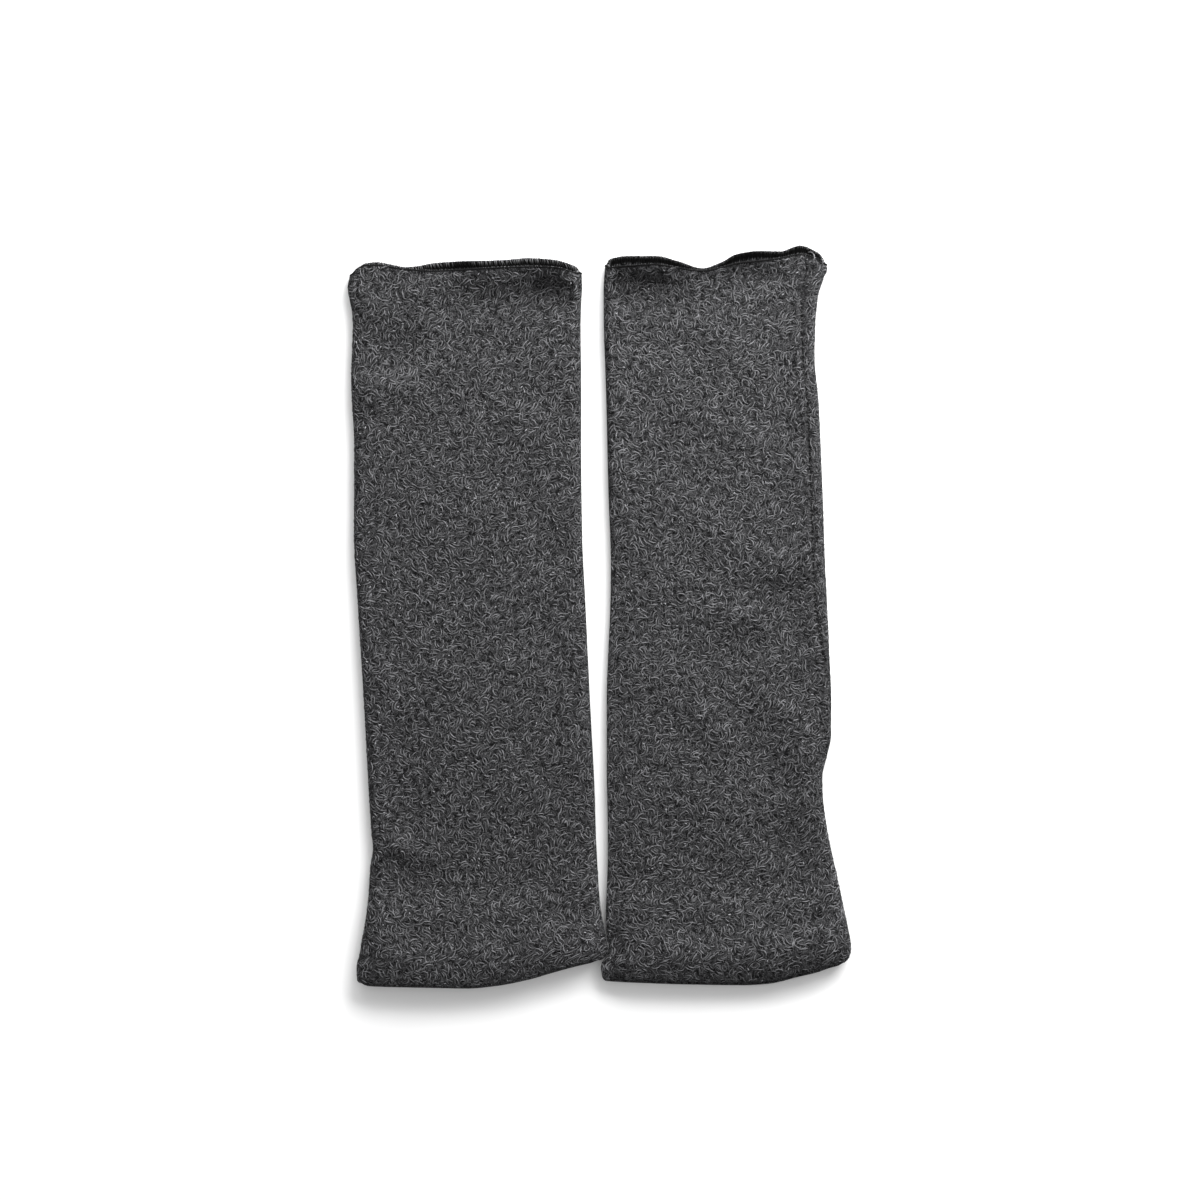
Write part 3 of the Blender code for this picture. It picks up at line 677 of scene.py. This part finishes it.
def on_cloth(mitten, around, down, lift):
    """A place over the outer face: down is measured up from where the hem turns in, and less
    than zero goes on round the turn, at its radius with the lift added."""
    y = HAND_END + down
    for _ in range(3):
        share, over, _, _ = shares(mitten, around, y)
        start = hand_y(mitten, share, over) + TURN_RADIUS
        y = start + np.maximum(down, 0)
    turn = np.clip(-down / TURN_RADIUS, 0, math.pi)
    radius = TURN_RADIUS + lift
    y = np.where(down < 0, start - radius * np.sin(turn), y)
    inset = np.where(down < 0, TURN_RADIUS - radius * np.cos(turn), -lift)
    return cloth(mitten, around, y, inset)


def tube_faces(steps, count, corners):
    """Faces of closed tubes whose points go by step, tube and corner: quads, and end caps."""
    index = np.arange(steps * count * corners).reshape(steps, count, corners)
    after = np.roll(index, -1, axis=2)
    quads = np.stack((index[:-1], index[1:], after[1:], after[:-1]), -1).reshape(-1, 4)
    return quads, np.concatenate((index[0], index[-1, :, ::-1]))


def add_tubes(name, paths, above, radii, shades, corners=3):
    """A piece of thin closed tubes: paths and above are steps x tubes x 3, and the radii and
    shades steps x tubes, one for each tube or one for all.

    A ring of corners stands square to each path, its first corner turned towards above.
    """
    size = paths.shape[:2]
    ahead = np.gradient(paths, axis=0)
    ahead /= np.linalg.norm(ahead, axis=-1, keepdims=True)
    across = np.cross(ahead, above - paths)
    across /= np.linalg.norm(across, axis=-1, keepdims=True)
    up = np.cross(across, ahead)
    turns = math.pi / 2 + np.arange(corners) * 2 * math.pi / corners
    rings = (paths[:, :, None] + np.broadcast_to(radii, size)[:, :, None, None]
             * (np.cos(turns)[:, None] * across[:, :, None]
                + np.sin(turns)[:, None] * up[:, :, None]))
    return add_mesh(name, rings.reshape(-1, 3), tube_faces(*size, corners),
                    shades=np.repeat(np.broadcast_to(shades, size), corners))


def curled_locks(along, spacing, rng):
    """Paths over the flat cloth, as around and down: one lock in each cell of a jittered grid,
    each some arcs side by side about one centre, and each arc's length and its shade."""
    cells = np.stack(np.meshgrid(np.arange(0, CLOTH_REACH, spacing), np.arange(*along, spacing)),
                     -1).reshape(-1, 2)
    middles = cells + rng.uniform(*LOCK_PLACE, cells.shape) * spacing
    locks = len(middles)
    way = rng.uniform(0, 2 * math.pi, locks)
    bend = rng.uniform(*LOCK_BEND, locks)
    tone = rng.uniform(*LOCK_TONES, locks)
    beside = (np.arange(LOCK_FIBRES) - (LOCK_FIBRES - 1) / 2)[:, None] * LOCK_PITCH
    size = (LOCK_FIBRES, locks)
    radius = bend + beside + rng.uniform(-LOCK_STRAY, LOCK_STRAY, size)
    # some fibres are painted bright past their colour: painted glints where ends catch the light
    glint = rng.random(size) < GLINT_SHARE
    length = np.where(glint, rng.uniform(*GLINT_LENGTH, size), rng.uniform(*FIBRE_LENGTH, size))
    shade = np.where(glint, rng.uniform(*GLINT_SHADES, size), rng.uniform(*FIBRE_SHADES, size))
    along = np.linspace(-0.5, 0.5, FIBRE_STEPS + 1)[:, None, None]
    turn = way + (along * length + rng.uniform(-FIBRE_SHIFT, FIBRE_SHIFT, size)) / radius
    around = middles[:, 0] - bend * np.cos(way) + radius * np.cos(turn)
    down = middles[:, 1] - bend * np.sin(way) + radius * np.sin(turn)
    flat = (FIBRE_STEPS + 1, -1)
    return around.reshape(flat), down.reshape(flat), (shade * tone).ravel()


def fibre_coat(name, mitten, over, along, part, spacing, seed):
    """Curled fibres over one side, each arched over the cloth and rooted at both ends; those
    that would cross the rim, the seam or the inner fold are left out.  They lie flatter and
    finer where the cloth turns, and none goes below the floor."""
    rng = np.random.default_rng(seed)
    around, down, shade = curled_locks(along, spacing, rng)
    sign = 1.0 if over else -1.0
    y = HAND_END + down
    share, _, _, half = shares(mitten, sign * np.maximum(around, 0.01), y)
    _, _, width = sides(mitten, y)
    seam, _ = seam_place(mitten, y)
    whole = reach(width, half)
    top = mouth_y(mitten, share, over) - hand_y(mitten, share, over) - TURN_RADIUS - RIM_MARGIN
    kept = ((around > -FOLD_CROSSING) & (around < whole - sign * seam - SEAM_MARGIN)
            & (down < top) & (down > -TURN_REACH * TURN_RADIUS)).all(axis=0)
    kept &= (around[0] >= part[0] * width[0]) & (around[0] < part[1] * width[0])
    around, down, shade = around[:, kept] * sign, down[:, kept], shade[kept]
    count = kept.sum()
    arch = np.sin(np.linspace(0, math.pi, FIBRE_STEPS + 1))[:, None]
    start, end = TURN_BAND
    from_fold = np.minimum(np.abs(around), np.abs(whole[:, kept] - np.abs(around)))
    flat = np.clip(np.minimum(from_fold - start, down + start) / (end - start), 0, 1)
    lift = arch * (FIBRE_ROOT + FIBRE_LIFT * flat * rng.uniform(FIBRE_LOW, 1, count)) - FIBRE_ROOT
    centre = on_cloth(mitten, around, down, lift)
    above = on_cloth(mitten, around, down, lift + ABOVE)
    radii = (rng.uniform(*FIBRE_RADIUS, count) * (FIBRE_TIP + (1 - FIBRE_TIP) * arch)
             * (TURN_FINENESS + (1 - TURN_FINENESS) * flat))
    centre[..., 2] = np.maximum(centre[..., 2], radii)
    return add_tubes(name, centre, above, radii, shade)


def fibre_material(name, dark, light, gloss):
    """Hair by hair: the shade attribute picks a place between the dark and the light fibre, or
    past the light one for a painted glint, and a fine noise along it keeps it from one flat tone."""
    material, tree, shader = new_material(name, FIBRE_ROUGHNESS, gloss)
    shade = tree.nodes.new("ShaderNodeAttribute")
    shade.attribute_name = "shade"
    place = tree.nodes.new("ShaderNodeTexCoord")
    fleck = noise(tree, place.outputs["Object"], FLECK_SCALE, 2.0, "3D")
    share = combine(tree, "MULTIPLY", shade.outputs["Fac"],
                    ramp(tree, fleck, *NOISE_EDGE, *FLECK_TONES))
    colour = blend_colour(tree, share, dark, light, clamp=False)
    link(tree, colour, shader["Base Color"])
    return material


light_fibre = fibre_material("Light marl fibres", (0.0155, 0.0155, 0.016, 1.0),
                             (0.188, 0.188, 0.196, 1.0), 0.10)
for hand, mitten in MITTENS.items():
    for k, (place, over, along, part, spacing) in enumerate(COATS):
        coat = fibre_coat(f"{hand}_fibres_{place}", mitten, over, along, part, spacing,
                          mitten["seed"] + k)
        coat.data.materials.append(light_fibre)
        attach(coat, "root")


# Seam
# The two edges of the panel are sewn edge to edge along the outer fold with dark thread: short
# bars across the join, closed tight except over the gap that was left for the thumb.
BAR_RUN = (-122.0, 140.0)  # y of the first bar and limit of the last
BAR_PITCH = 3.3            # from one bar to the next
BAR_SHIFT = 0.5            # how far a bar strays along the seam, and leans
BAR_REACH = 1.0            # how far a bar goes to each side of the join
BAR_RADIUS = 0.20
BAR_LIFT = 0.12            # how high its middle stands over the cloth
BAR_SINK = 0.35            # how much lower its ends are
BAR_OVERLAP = 2.0          # how far they go on over the ends of the thumb gap
FRONT_PLACE = 60.0         # a place over the front, where the height is read
THREAD_SHADES = (0.4, 1.2)


def seam_bars(name, mitten):
    """Bars over the join: each goes from one edge to the other along the section, arched."""
    rng = np.random.default_rng(mitten["seed"] + 5)
    middle, length = mitten["thumb"]
    y = np.arange(*BAR_RUN, BAR_PITCH)
    y = y[np.abs(y - middle) > length / 2 - BAR_OVERLAP]
    y = y + rng.uniform(-BAR_SHIFT, BAR_SHIFT, len(y))
    steps = np.linspace(-1, 1, 6)[:, None]
    seam, _ = seam_place(mitten, y)
    _, _, width = sides(mitten, y)
    _, _, _, half = shares(mitten, np.full_like(y, FRONT_PLACE), y)
    place = reach(width, half) - seam + steps * BAR_REACH
    rows = y + rng.uniform(-BAR_SHIFT, BAR_SHIFT, len(y)) * steps
    lift = np.broadcast_to(BAR_LIFT - BAR_SINK * steps ** 4, rows.shape)
    centre = cloth(mitten, place, rows, -lift)
    above = cloth(mitten, place, rows, -lift - ABOVE)
    shades = rng.uniform(*THREAD_SHADES, len(y))
    return add_tubes(name, centre, above, BAR_RADIUS, shades, corners=4)


# its dark end is darker than thread: painted shade of the loops inside the mouth
thread = fibre_material("Dark sewing thread", (0.0018, 0.0018, 0.0018, 1.0),
                        (0.085, 0.085, 0.087, 1.0), 0.005)
for hand, mitten in MITTENS.items():
    bars = seam_bars(f"{hand}_seam_bars", mitten)
    bars.data.materials.append(thread)
    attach(bars, "root")


# Overlock at the arm end
# The raw edge is overlocked all round with dark thread.  Its loops cover the inner face for
# three millimetres and come over the rim, where a second thread is caught along the edge.
ARM_END = 145.0           # about where the raw edge lies
LOOP_PITCH = 0.75         # from one loop to the next
LOOP_SHIFT = 0.35         # how far a loop strays from its place
LOOP_MARGIN = 0.6         # how far the loops stay from the seam
LOOP_RADIUS = 0.23
LOOP_LEAN = (0.13, 2.6)   # how far a loop leans along the edge
LOOP_REACH = (-0.5, 4.2)  # from the outer face to the inner, measured over the rim
LOOP_LIFT = 0.16          # how high it stands over the cloth
LOOP_SINK = 0.4           # how much lower its ends are
LOOP_FADE_START = 0.2     # where on that way painted shade starts to darken its thread
LOOP_FADE = 0.97          # share of its shade that it loses on the inner face, painted shade inside the mouth
LOOP_SHADOW = 0.9           # share that it loses in the painted shadow of the lip
RIM_RADIUS = 0.22
RIM_PLACE = -0.75         # the second thread's middle, measured over the rim
RIM_SWING = 0.3           # how far it swings from there
RIM_LIFT = 0.14           # how high it stands at its middle, and how far it rises and falls
RIM_SHADE = 0.1
RIM_ABOVE = 0.4           # as ABOVE, over the rim


def on_rim(mitten, around, past, lift):
    """A place over the raw edge: past is measured over the rim from its middle, less than zero
    on the outer face; the rim is a half circle as thick as the cloth."""
    bend = WALL / 2
    y = np.full_like(around, ARM_END)
    for _ in range(3):
        share, over, _, _ = shares(mitten, around, y)
        top = mouth_y(mitten, share, over) - bend
        turn = np.clip(past / bend, -math.pi / 2, math.pi / 2)
        straight = np.maximum(np.abs(past) - bend * math.pi / 2, 0)
        y = top + (bend + lift) * np.cos(turn) - straight
    return cloth(mitten, around, y, bend + (bend + lift) * np.sin(turn))


def mouth_reach(mitten, over):
    """How far round the section the arm end's edge goes on one side before its loops stop."""
    y = np.array((ARM_END - 1,))
    _, _, width = sides(mitten, y)
    seam, parting = seam_place(mitten, y)
    sign = 1.0 if over else -1.0
    return (reach(width, BODY_HEIGHT / 2) - sign * seam - parting)[0] - LOOP_MARGIN


def overlock_loops(name, mitten):
    """Loops side by side, each a leaning path from the inner face over the rim, with its two
    ends sunk in the cloth.  Painted shade darkens them inward from the rim and under the lip."""
    rng = np.random.default_rng(mitten["seed"] + 9)
    middles = np.arange(-mouth_reach(mitten, False), mouth_reach(mitten, True), LOOP_PITCH)
    middles = middles + rng.uniform(-LOOP_SHIFT, LOOP_SHIFT, len(middles))
    steps = np.linspace(0, 1, 10)[:, None]
    around = middles + rng.uniform(*LOOP_LEAN, len(middles)) * (steps - 0.5)
    start, end = LOOP_REACH
    past = start + (end - start) * steps + 0 * around
    lift = LOOP_LIFT - LOOP_SINK * (2 * steps - 1) ** 8 + 0 * around
    centre = on_rim(mitten, around, past, lift)
    above = on_rim(mitten, around, past, lift + RIM_ABOVE)
    # painted shade: the loops darken inward from the rim, into the mouth under the front lip
    shade = rng.uniform(*mitten["loop_shades"], len(middles)) * (
        1 - LOOP_FADE * smoothstep((past - LOOP_FADE_START) / mitten["loop_fade"]))
    # a stretch of the loops is painted darker: a painted shadow of the raised front lip
    shadow_x, shadow_width = mitten["loop_shadow"]
    shade = shade * (1 - LOOP_SHADOW * np.exp(-((centre[..., 0] - shadow_x) / shadow_width) ** 2))
    return add_tubes(name, centre, above, LOOP_RADIUS, shade)


def rim_thread(name, mitten):
    """The thread caught along the rim: it swings to the outer face between two loops."""
    start, end = -mouth_reach(mitten, False), mouth_reach(mitten, True)
    turns = (end - start) / LOOP_PITCH
    t = np.linspace(0, turns, int(turns * 8))
    around = start + t * LOOP_PITCH
    swing = np.cos(2 * math.pi * t)
    past = RIM_PLACE + RIM_SWING * swing
    lift = RIM_LIFT + RIM_LIFT * swing
    centre = on_rim(mitten, around, past, lift)
    above = on_rim(mitten, around, past, lift + RIM_ABOVE)
    return add_tubes(name, centre[:, None], above[:, None], RIM_RADIUS, RIM_SHADE, corners=4)


for hand, mitten in MITTENS.items():
    for piece in (overlock_loops(f"{hand}_overlock_loops", mitten),
                  rim_thread(f"{hand}_rim_thread", mitten)):
        piece.data.materials.append(thread)
        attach(piece, "root")


# Seam allowance
# The two raw edges of the panel inside the seam, pressed flat to the back and overlocked
# together with the same dark thread; it stops at the thumb gap and above the hem.
ALLOWANCE_OUTER = 3.2      # its sewn side, in from the outer fold
ALLOWANCE_DEPTH = 5.4      # from there to its free side
ALLOWANCE_LAYER = 0.72     # thickness of one edge, pressed
ALLOWANCE_LIFT = 0.45      # air below it
ALLOWANCE_STEP = 2.0       # between two rows along it
ALLOWANCE_END = 1.5        # how far it stays back from the arm end and from the hem
END_SHARES = (0.97, 0.94)  # shares of the width where their y is read
ALLOWANCE_WAVE = 0.35      # how unevenly its free side was trimmed, and over what lengths
WAVE_LENGTHS = (3.1, 7.3)
EDGE_LOOP_PITCH = 1.9
EDGE_LOOP_RADIUS = 0.16
EDGE_LOOP_DEPTH = 3.4      # how far a loop reaches in from the free side
EDGE_LOOP_HEIGHT = 1.32    # how far it goes above and below the middle, in layers
EDGE_LOOP_CLEAR = 0.03     # how far it stands off that side, as a share of the depth
EDGE_LOOP_LEAN = 0.5       # how far it leans for each radian round
EDGE_LOOP_SHADE = 0.5
# share of the depth, height in layers: round both edges, with the slit between them
ALLOWANCE_RING = (
    (0.06, 0.0), (0.95, 0.0), (1.0, 0.3), (1.0, 0.75), (0.96, 1.0), (0.30, 1.02),
    (0.24, 1.1), (0.30, 1.18), (0.93, 1.2), (0.98, 1.45), (0.98, 1.9), (0.93, 2.2),
    (0.06, 2.2), (0.0, 1.8), (0.0, 0.4),
)


def allowance_place(mitten, y, share, layers):
    """A place in the allowance: share of its depth in from its sewn side, and height in layers
    above the back's inner face."""
    inner, way, width = sides(mitten, y)
    across = width - ALLOWANCE_OUTER - ALLOWANCE_DEPTH * share
    z = PILE + WALL + ALLOWANCE_LIFT + ALLOWANCE_LAYER * layers
    return np.stack((inner + way * across, y + 0 * across, z + 0 * across), axis=-1)


def allowance_edges(name, mitten, start, end):
    """The two pressed edges: one ring of corners swept along the seam, closed at its ends."""
    rows = int(abs(end - start) / ALLOWANCE_STEP)
    y = np.linspace(start, end, rows + 1)[:, None]
    share, layers = np.array(ALLOWANCE_RING).T
    short, long = WAVE_LENGTHS
    trim = 1 + ALLOWANCE_WAVE / ALLOWANCE_DEPTH * np.sin(y / short) * np.sin(y / long)
    points = allowance_place(mitten, y, share * trim, layers).reshape(-1, 3)
    quads, caps = tube_faces(rows + 1, 1, len(share))
    if mitten["outer"] == 1:
        quads, caps = quads[:, ::-1], caps[:, ::-1]
    return add_mesh(name, points, (quads, caps), smooth=False, places=points[:, :2],
                    shades=np.zeros(len(points)))


def allowance_loops(name, mitten, start, end):
    """Loops of thread round the free side, each an open path over the top and under."""
    y = np.arange(min(start, end) + ALLOWANCE_END, max(start, end) - ALLOWANCE_END,
                  EDGE_LOOP_PITCH)
    turn = np.linspace(-1, 1, 9)[:, None] * math.pi / 2
    round_edge = EDGE_LOOP_DEPTH / ALLOWANCE_DEPTH
    share = (1 + EDGE_LOOP_CLEAR + EDGE_LOOP_CLEAR * np.cos(turn)
             - round_edge * (1 - np.cos(turn)) + 0 * y)
    layers = 1.1 + EDGE_LOOP_HEIGHT * np.sin(turn) + 0 * y
    lean = y + EDGE_LOOP_LEAN * turn
    centre = allowance_place(mitten, lean, share, layers)
    above = allowance_place(mitten, lean, share + 0.2 * np.cos(turn), layers + 0.5 * np.sin(turn))
    return add_tubes(name, centre, above, EDGE_LOOP_RADIUS, EDGE_LOOP_SHADE)


for hand, mitten in MITTENS.items():
    middle, length = mitten["thumb"]
    mouth = mouth_y(mitten, np.array(END_SHARES[0]), True)
    hem = hand_y(mitten, np.array(END_SHARES[1]), True) + TURN_RADIUS + HEM_DEPTH
    runs = {"seam_arm": (mouth - ALLOWANCE_END, middle + length / 2),
            "seam_hand": (middle - length / 2, hem + ALLOWANCE_END)}
    for run, (start, end) in runs.items():
        edges = allowance_edges(f"{hand}_{run}_edges", mitten, start, end)
        edges.data.materials.append(marl)
        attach(edges, "root")
        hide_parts(f"{hand}_{run}")
        loops = allowance_loops(f"{hand}_{run}_loops", mitten, start, end)
        loops.data.materials.append(thread)
        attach(loops, "root")


# Floor, light and camera
# A plain pale floor under soft studio light that is stronger from the arm end, and a camera
# straight overhead with a long lens, as in the photograph.  Sizes here are in metres.
FRAME_WIDTH = 0.4985  # how much of the floor the picture spans
CAMERA_HEIGHT = 3.0
CAMERA_PLACE = (0.0003, 0.0072)
SENSOR = 36.0         # in millimetres
FLOOR_SIZE = 6.0
FLOOR_ROUGHNESS = 0.9
PALE = (0.93, 0.93, 0.93, 1.0)
LAMP_SIZE = 0.7
SKY_STRENGTH = 0.60

floor = add_mesh("floor", np.array(((-1, -1, 0), (1, -1, 0), (1, 1, 0), (-1, 1, 0)))
                 * FLOOR_SIZE / 2 / MM, (((0, 1, 2, 3),),), smooth=False)
paper, _, surface = new_material("Pale floor", FLOOR_ROUGHNESS)
surface["Base Color"].default_value = PALE
floor.data.materials.append(paper)


def soft_box(name, place, power):
    """A square soft box at a place, turned towards the middle of the pair."""
    lamp = bpy.data.lights.new(name, "AREA")
    lamp.size = LAMP_SIZE
    lamp.energy = power
    box = bpy.data.objects.new(name, lamp)
    box.location = place
    box.rotation_euler = (-Vector(place)).to_track_quat("-Z", "Y").to_euler()
    bpy.context.scene.collection.objects.link(box)


soft_box("right soft box", (0.365, 0.55, 0.29), 18.2)
soft_box("arm end soft box", (-0.08, 0.67, 0.30), 4.0)
world = bpy.data.worlds.new("studio")
world.use_nodes = True
sky = world.node_tree.nodes["Background"].inputs
sky["Color"].default_value = (1, 1, 1, 1)
sky["Strength"].default_value = SKY_STRENGTH
bpy.context.scene.world = world

lens = bpy.data.cameras.new("overhead camera")
lens.sensor_width = SENSOR
lens.lens = SENSOR * CAMERA_HEIGHT / FRAME_WIDTH
camera = bpy.data.objects.new("overhead camera", lens)
camera.location = (*CAMERA_PLACE, CAMERA_HEIGHT)
bpy.context.scene.collection.objects.link(camera)
bpy.context.scene.camera = camera
bpy.context.scene.view_settings.view_transform = "Standard"
